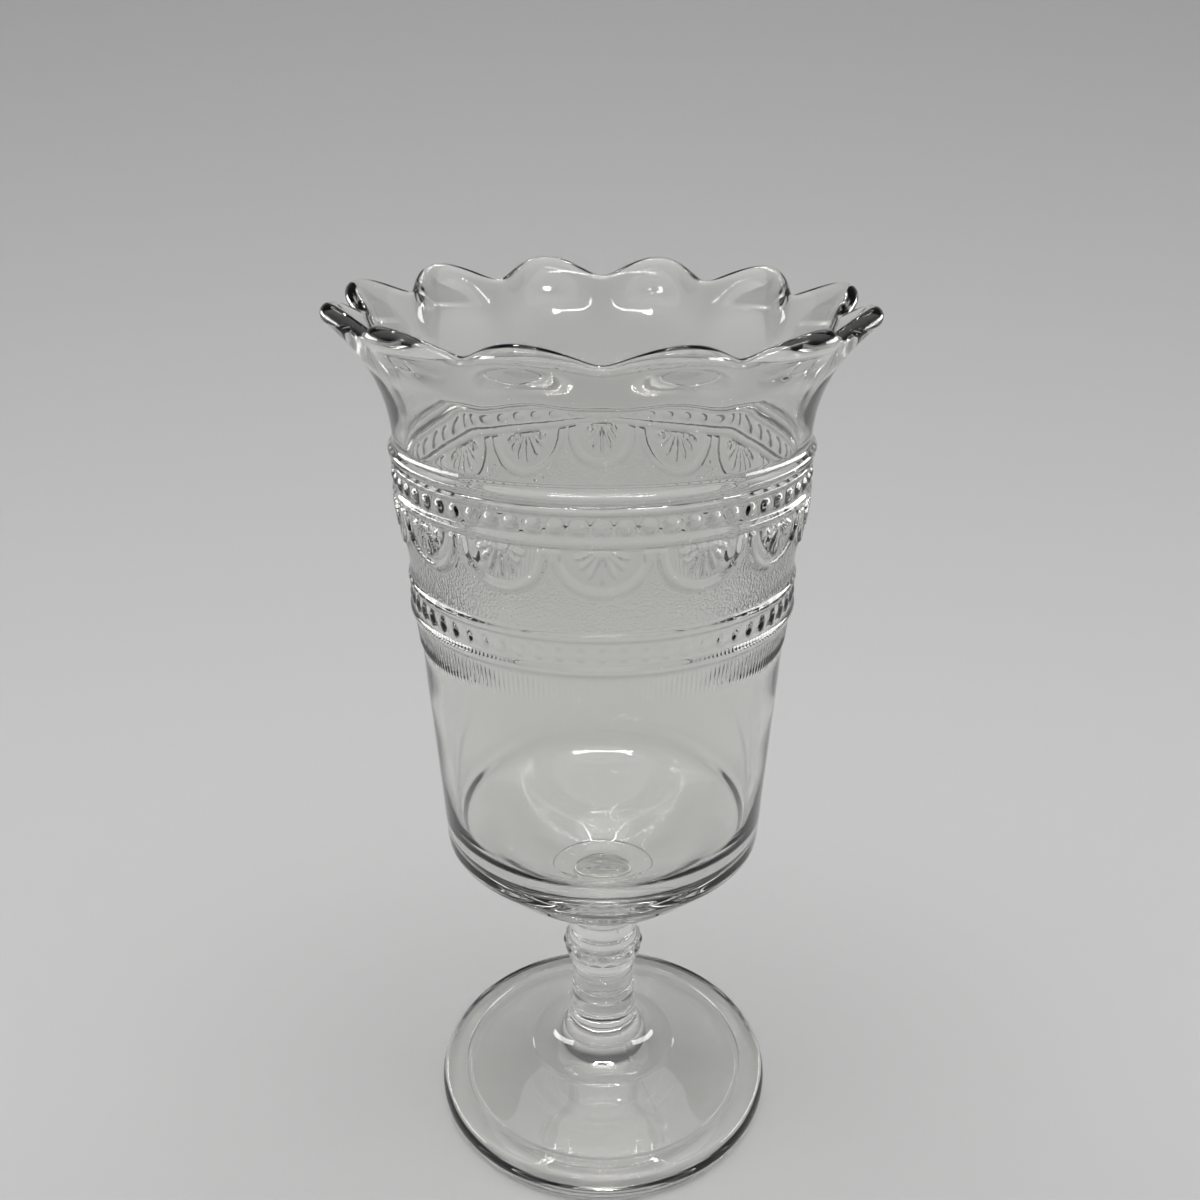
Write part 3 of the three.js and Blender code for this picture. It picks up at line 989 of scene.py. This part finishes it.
def small_lamps():
    """Rows of small square lamps, in front of the vase and in a frame behind it."""
    half = LAMP_SIZE / 2
    squares = []
    for start, end in LAMP_ROWS:
        count = round(math.dist(start, end) / LAMP_PITCH)
        for i in range(count + 1):
            x, y = mix(start[0], end[0], i / count), mix(start[1], end[1], i / count)
            squares.append(((x, y, LAMP_HEIGHT), (half, 0, 0), (0, half, 0)))
    glowing("small_lamps", LAMP_STRENGTH, squares, through_glass=True)


def side_panels():
    x, y, z = SIDE_PANEL_PLACE
    squares = [((side * x, y, z), (0, SIDE_PANEL_HALF_LENGTH, 0),
                (side * SIDE_PANEL_LEAN, 0, SIDE_PANEL_HALF_HEIGHT)) for side in (-1, 1)]
    glowing("side_panels", SIDE_PANEL_STRENGTH, squares, through_glass=False)


def ceiling_light():
    light = bpy.data.lights.new("Ceiling light", "AREA")
    light.shape = "RECTANGLE"
    light.size, light.size_y = CEILING_SIZE
    light.energy = CEILING_POWER
    lamp = bpy.data.objects.new("Ceiling light", light)
    lamp.location = CEILING_PLACE
    lamp.visible_glossy = False
    aim = Vector(CEILING_AIM) - Vector(CEILING_PLACE)
    lamp.rotation_euler = aim.to_track_quat("-Z", "Y").to_euler()
    bpy.context.collection.objects.link(lamp)


def room_light():
    """Bright overhead and dim towards the horizon and the front, so that the edges of the glass
    turn dark."""
    world = bpy.data.worlds.new("Room")
    world.use_nodes = True
    bpy.context.scene.world = world
    tree = world.node_tree
    place = add_node(tree, "ShaderNodeTexCoord")
    split = add_node(tree, "ShaderNodeSeparateXYZ")
    tree.links.new(place.outputs["Generated"], split.inputs[0])
    ahead, up = split.outputs["Y"], split.outputs["Z"]
    overhead = ranged(tree, up, *ROOM_OVERHEAD, "SMOOTHSTEP")
    not_front = ranged(tree, ahead, *ROOM_NOT_FRONT, "SMOOTHSTEP")
    high_up = ranged(tree, up, *ROOM_HIGH_UP, "SMOOTHSTEP")
    opening = combined(tree, "MAXIMUM", not_front, high_up)
    background = tree.nodes["Background"]
    tree.links.new(combined(tree, "MULTIPLY", overhead, opening), background.inputs["Color"])
    background.inputs["Strength"].default_value = ROOM_STRENGTH


paper_sweep()
small_lamps()
side_panels()
ceiling_light()
room_light()


# The camera stands a little above the rim and looks down at the bowl.

CAMERA_PLACE = (0.0, -0.2927, 0.2815)
CAMERA_DOWN = 0.39257
CAMERA_YAW = 0.0021
CAMERA_ROLL = -0.0027
CAMERA_LENS = 36.008
CAMERA_SENSOR = 36
CAMERA_NEAREST = 0.01
GLASS_BOUNCES = 24

camera = bpy.data.objects.new("Camera", bpy.data.cameras.new("Camera"))
camera.data.lens = CAMERA_LENS
camera.data.sensor_width = CAMERA_SENSOR
camera.data.clip_start = CAMERA_NEAREST
camera.matrix_world = (Matrix.Translation(CAMERA_PLACE) @ Matrix.Rotation(CAMERA_YAW, 4, "Z")
                       @ Matrix.Rotation(math.pi / 2 - CAMERA_DOWN, 4, "X")
                       @ Matrix.Rotation(CAMERA_ROLL, 4, "Z"))
bpy.context.collection.objects.link(camera)
scene = bpy.context.scene
scene.camera = camera
scene.view_settings.view_transform = "Standard"
scene.cycles.max_bounces = GLASS_BOUNCES
scene.cycles.transmission_bounces = GLASS_BOUNCES
scene.cycles.sample_clamp_indirect = 0
